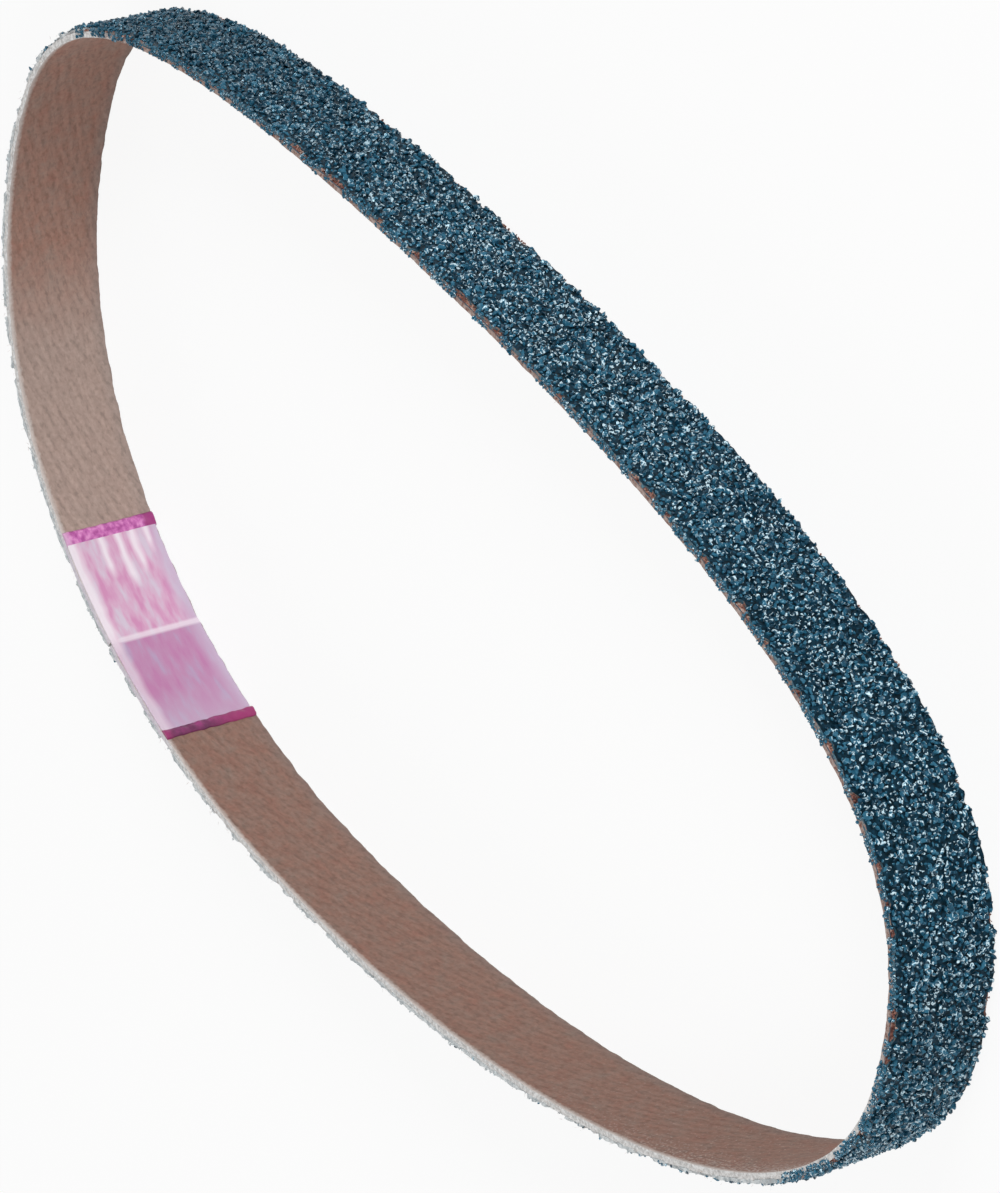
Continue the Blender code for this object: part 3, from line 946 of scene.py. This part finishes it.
# %% Torn edge of the coat
# Where the knife cut the coat: powder grey on the far side, teal with brown flecks on the near.
torn, shader = blank("torn edge of the coat")
flat = node(torn, "ShaderNodeUVMap", uv_map="flat_mm")
u = node(torn, "ShaderNodeSeparateXYZ", {0: flat})
grains = node(torn, "ShaderNodeTexNoise", {"Vector": flat}, {"Scale": 1.8, "Detail": 3, "Roughness": 0.6})
powder = node(torn, "ShaderNodeValToRGB", {0: grains}, stops=[(0.32, "#8f989c"), (0.6, "#d8dcdd")])
teal = node(
    torn,
    "ShaderNodeValToRGB",
    {0: grains},
    stops=[(0.34, "#6b352d"), (0.40, "#8f7a70"), (0.46, "#51666d"), (0.52, "#1c4658"), (0.68, "#4f8598")],
)
entry = node(torn, "ShaderNodeMapRange", {0: u}, {1: NEAR_SIDE[0] - 4, 2: NEAR_SIDE[0] + 4})
leave = node(torn, "ShaderNodeMapRange", {0: u}, {1: NEAR_SIDE[1] - 4, 2: NEAR_SIDE[1], 3: 1, 4: 0})
near = node(torn, "ShaderNodeMath", {0: entry, 1: leave}, operation="MULTIPLY")
colour = node(torn, "ShaderNodeMix", {0: near, 6: powder, 7: teal}, **COLOURS)
bump = node(torn, "ShaderNodeBump", {"Height": grains}, {"Strength": 0.8, "Distance": 0.1 * MM})
node(torn, shader, {"Base Color": colour, "Normal": bump}, {"Roughness": 0.6})

# %% [markdown]
# ## Finishes: the splice
#
# The film is clear and pink, and what shows is how well it is stuck: even mauve where the
# adhesive has wetted the cloth, and white where it hasn't. So the film is painted by place:
# white fingers run in from the upper bead, a white margin follows the upper rim, and a pale
# line marks the butt joint. The two beads are the same adhesive, thick enough to look magenta.

# %% Splice film
film_finish, shader = blank("pink splice film")
flat = node(film_finish, "ShaderNodeUVMap", uv_map="flat_mm")
u = node(film_finish, "ShaderNodeSeparateXYZ", {0: flat})
v = u.node.outputs[1]
drawn = node(film_finish, "ShaderNodeMapping", {"Vector": flat}, {"Scale": (0.3, 1, 1)})
# Streaks a millimetre wide, in a lighter pink before the joint and a deeper one after it
streaks = {"Scale": 0.9, "Detail": 3, "Roughness": 0.5}
streak = node(film_finish, "ShaderNodeTexNoise", {"Vector": drawn}, streaks)
stops = [(0.36, "#ca89b2"), (0.5, "#d0a5c1"), (0.64, "#cebfd0")]
upper = node(film_finish, "ShaderNodeValToRGB", {0: streak}, stops=stops)
stops = [(0.36, "#b678a4"), (0.52, "#b785aa"), (0.66, "#b095b5")]
lower = node(film_finish, "ShaderNodeValToRGB", {0: streak}, stops=stops)
half = node(film_finish, "ShaderNodeMapRange", {0: u}, {1: -0.2, 2: 0.2})
body = node(film_finish, "ShaderNodeMix", {0: half, 6: upper, 7: lower}, **COLOURS)
# Cooler and greyer towards the dark bead and along the lower rim
foot = node(film_finish, "ShaderNodeMapRange", {0: u}, {1: 6, 2: 11, 4: 0.6})
edge = node(film_finish, "ShaderNodeMapRange", {0: v}, {1: 0.3, 2: 1.8, 3: 0.85, 4: 0})
cool = node(film_finish, "ShaderNodeMath", {0: foot, 1: edge}, operation="MAXIMUM")
body = node(film_finish, "ShaderNodeMix", {0: cool, 6: body}, {7: linear("#bfb0c6")}, **COLOURS)

# %% Where the film isn't stuck
# The white margin and the fingers waver: a noise adds 0.25 mm to v, give or take 0.1 mm. A
# finger's middle and half width are on v, and its tip is on u.
sway = node(film_finish, "ShaderNodeTexNoise", {"Vector": flat}, {"Scale": 0.45, "Detail": 1})
waved = node(film_finish, "ShaderNodeMath", {0: sway, 2: v}, {1: 0.5}, operation="MULTIPLY_ADD")
white = node(film_finish, "ShaderNodeMapRange", {0: u}, {1: -1, 2: 1.5, 3: 0.95, 4: 0.5})
pale = node(film_finish, "ShaderNodeMapRange", {0: waved}, {1: 8.7, 2: 9.4})
pale = node(film_finish, "ShaderNodeMath", {0: pale, 1: white}, operation="MULTIPLY")
FINGERS = ((4.35, 0.6, -4.7), (2.85, 0.6, -5.7), (1.3, 0.45, -7.6), (6.2, 0.55, -6.0))
for middle, half_width, tip in FINGERS:
    off = node(film_finish, "ShaderNodeMath", {0: waved}, {1: middle + 0.25}, operation="SUBTRACT")
    off = node(film_finish, "ShaderNodeMath", {0: off}, operation="ABSOLUTE")
    side = node(film_finish, "ShaderNodeMapRange", {0: off}, {1: 0.1, 2: half_width, 3: 1, 4: 0})
    run = node(film_finish, "ShaderNodeMapRange", {0: u}, {1: tip - 1.5, 2: tip, 3: 0.9, 4: 0})
    finger = node(film_finish, "ShaderNodeMath", {0: side, 1: run}, operation="MULTIPLY")
    pale = node(film_finish, "ShaderNodeMath", {0: pale, 1: finger}, operation="MAXIMUM")
butt = node(film_finish, "ShaderNodeMath", {0: u}, operation="ABSOLUTE")
butt = node(film_finish, "ShaderNodeMapRange", {0: butt}, {1: 0.15, 2: 0.42, 3: 0.7, 4: 0})
pale = node(film_finish, "ShaderNodeMath", {0: pale, 1: butt}, operation="MAXIMUM")
colour = node(film_finish, "ShaderNodeMix", {0: pale, 6: body}, {7: linear("#e9e0e8")}, **COLOURS)
node(film_finish, shader, {"Base Color": colour}, {"Roughness": 0.35})
print("nodes in the film:", len(film_finish.node_tree.nodes))

# %% Frothy bead of adhesive
# Thick adhesive, smooth and a little shiny. The one before the joint is full of pale froth, dark
# at the lower rim and fainter at the upper.
pale_finish, shader = blank("frothy pink adhesive")
flat = node(pale_finish, "ShaderNodeUVMap", uv_map="flat_mm")
v = node(pale_finish, "ShaderNodeSeparateXYZ", {0: flat}, give=1)
froth = node(pale_finish, "ShaderNodeTexNoise", {"Vector": flat}, {"Scale": 1.7, "Detail": 3})
stops = [(0.36, "#a84a93"), (0.5, "#c369ae"), (0.66, "#da90c6")]
pink = node(pale_finish, "ShaderNodeValToRGB", {0: froth}, stops=stops)
end = node(pale_finish, "ShaderNodeMapRange", {0: v}, {1: 0.8, 2: 1.3, 3: 0.9, 4: 0})
pink = node(pale_finish, "ShaderNodeMix", {0: end, 6: pink}, {7: linear("#93286f")}, **COLOURS)
faint = node(pale_finish, "ShaderNodeMapRange", {0: v}, {1: 8.9, 2: 9.5, 4: 0.7})
pink = node(pale_finish, "ShaderNodeMix", {0: faint, 6: pink}, {7: linear("#dcb3d2")}, **COLOURS)
node(pale_finish, shader, {"Base Color": pink}, {"Roughness": 0.4})

# %% Clear bead of adhesive
# Past the joint the adhesive has no froth, so it is deep and dark. It is brighter over the lower
# part of the belt and at the upper rim.
dark_finish, shader = blank("clear magenta adhesive")
flat = node(dark_finish, "ShaderNodeUVMap", uv_map="flat_mm")
v = node(dark_finish, "ShaderNodeSeparateXYZ", {0: flat}, give=1)
depth = node(dark_finish, "ShaderNodeTexNoise", {"Vector": flat}, {"Scale": 1.1, "Detail": 3})
stops = [(0.38, "#621e4c"), (0.52, "#76275b"), (0.68, "#8d306d")]
wine = node(dark_finish, "ShaderNodeValToRGB", {0: depth}, stops=stops)
near_foot = node(dark_finish, "ShaderNodeMapRange", {0: v}, {1: 2.0, 2: 5.0, 3: 0.8, 4: 0})
at_top = node(dark_finish, "ShaderNodeMapRange", {0: v}, {1: 8.6, 2: 9.4, 4: 0.7})
bright = node(dark_finish, "ShaderNodeMath", {0: near_foot, 1: at_top}, operation="MAXIMUM")
wine = node(dark_finish, "ShaderNodeMix", {0: bright, 6: wine}, {7: linear("#9c2b69")}, **COLOURS)
node(dark_finish, shader, {"Base Color": wine}, {"Roughness": 0.35})
print("materials:", sorted(material.name for material in bpy.data.materials))

# %% [markdown]
# ## Dress, bend and attach the pieces
#
# The pieces get their finishes while they are still flat, because there a face's normal says at
# once whether it lies on the inside, on a cut edge or on the outside. Then each is bent round
# the loop and rides on the belt's one body. The five that stand for a solid of the CAD part
# replace it, and the grit, crumbs and fibres come on top.

# %% Give each piece its finish
# A face that leans further than this towards a rim or outwards belongs to that side
FACING = 0.6
LUMPS_SMOOTH_TO = math.radians(60)
FACETS_SMOOTH_TO = math.radians(34)
for piece, finishes in [
    (cloth, (twill, cotton, make)),
    (resin, (pool, torn)),
    (crumbs, (make,)),
    (loose, (lint,)),
    (film, (film_finish,)),
    (pale_bead, (pale_finish,)),
    (dark_bead, (dark_finish,)),
    *[(piece, (glaze,)) for piece in grit],
]:
    for finish in finishes:
        piece.data.materials.append(finish)
normals = np.array([face.normal[:] for face in cloth.data.polygons])
slots = np.where(abs(normals[:, 2]) > FACING, 1, np.where(normals[:, 1] < -FACING, 2, 0))
cloth.data.polygons.foreach_set("material_index", slots.astype(np.int32))
normals = np.array([face.normal[:] for face in resin.data.polygons])
slots = abs(normals[:, 2]) > FACING
resin.data.polygons.foreach_set("material_index", slots.astype(np.int32))
for piece in (cloth, resin, film, pale_bead, dark_bead):
    only(piece)
    bpy.ops.object.shade_smooth_by_angle(angle=LUMPS_SMOOTH_TO)
for piece in grit:
    only(piece)
    bpy.ops.object.shade_smooth_by_angle(angle=FACETS_SMOOTH_TO)
print("dressed:", [piece.name for piece in (cloth, resin, crumbs, loose, film, pale_bead, dark_bead, *grit)])

# %% Bend and attach
stands_for = {
    cloth: ("cloth_backing", "cloth"),
    resin: ("abrasive_coat", "grains"),
    film: ("splice_tape", "film"),
    pale_bead: ("glue_line_pale", "pale_glue"),
    dark_bead: ("glue_line_dark", "dark_glue"),
    crumbs: (None, "cloth"),
    loose: (None, "cloth"),
}
stands_for.update({piece: (None, "grains") for piece in grit})
for piece, (cad_node, slot) in stands_for.items():
    bend_round(piece)
    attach(piece, "root")
    if cad_node:
        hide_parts(cad_node)
bpy.data.objects.remove(guide, do_unlink=True)
print("attached:", len(stands_for), "pieces")

# %% [markdown]
# ## Floor and light
#
# A catalogue photograph is taken on white paper, under soft light from several sides, so that
# no shadow is hard and every facet of the grit finds something to mirror. Four square lamps do
# that here: a strong one in front, a weaker one on the left, a faint one on the right and a
# wide one behind, which fills the shadows. The white of the background comes from the paper
# and the world as the camera sees them, and not from more light on the belt.

# %% Helper for a white background
def seen_directly(owner):
    """1 to the camera and to glossy or clear surfaces, and 0 to the light that falls on things."""
    seen = node(owner, "ShaderNodeLightPath", give="Is Camera Ray")
    rays = seen.node.outputs
    for ray in ("Is Glossy Ray", "Is Transmission Ray"):
        seen = node(owner, "ShaderNodeMath", {0: seen, 1: rays[ray]}, operation="MAXIMUM")
    return seen

# %% Floor
# White paper. Most of what is seen of it is plain white and the rest is lit paper, so that the
# belt keeps a soft shadow. To the light that bounces off it, it is plain paper all over.
WHITE = (1, 1, 1, 1)
PLAIN_SHARE = 0.90
bpy.ops.object.select_all(action="DESELECT")
bpy.ops.mesh.primitive_plane_add(size=6, location=(0, 0, 0))
floor = bpy.context.object
floor.name = "floor"
paper, shader = blank("white studio paper")
node(paper, shader, None, {"Base Color": linear("#f5f5f5"), "Roughness": 0.95, "Specular IOR Level": 0.1})
plain = node(paper, "ShaderNodeEmission", None, {"Color": WHITE, "Strength": 1})
share = node(paper, "ShaderNodeMath", {0: seen_directly(paper)}, {1: PLAIN_SHARE}, operation="MULTIPLY")
surface = node(paper, "ShaderNodeMixShader", {0: share, 1: shader.outputs[0], 2: plain})
node(paper, paper.node_tree.nodes["Material Output"], {"Surface": surface})
floor.data.materials.append(paper)
print("floor, m:", list(floor.dimensions))

# %% Lamps and world
# To the camera the world is white, and it lights the belt with a quarter of that. A lamp has its
# direction from the belt, its distance and size in metres, and its power in watts.
SKY = 0.25
world = bpy.data.worlds.new("studio")
bpy.context.scene.world = world
world.use_nodes = True
strength = node(world, "ShaderNodeMapRange", {0: seen_directly(world)}, {3: SKY, 4: 1})
node(world, world.node_tree.nodes["Background"], {"Strength": strength}, {"Color": WHITE})


def lamp(name, toward, distance, size, power):
    """A square soft lamp in one direction from the belt, facing it."""
    data = bpy.data.lights.new(name, "AREA")
    data.size = size
    data.energy = power
    light = bpy.data.objects.new(name, data)
    light.location = Vector(toward).normalized() * distance
    light.rotation_euler = (-light.location).to_track_quat("-Z", "Y").to_euler()
    bpy.context.scene.collection.objects.link(light)


lamp("front", (0.00, -0.90, 0.42), 0.90, 0.26, 4.1)
lamp("right", (0.75, -0.60, 0.30), 0.80, 0.20, 0.6)
lamp("left", (-0.85, -0.30, 0.45), 0.80, 0.26, 2.4)
lamp("behind", (0.30, 0.90, 0.40), 0.90, 0.50, 3.0)
print("lamps:", len(bpy.data.lights))
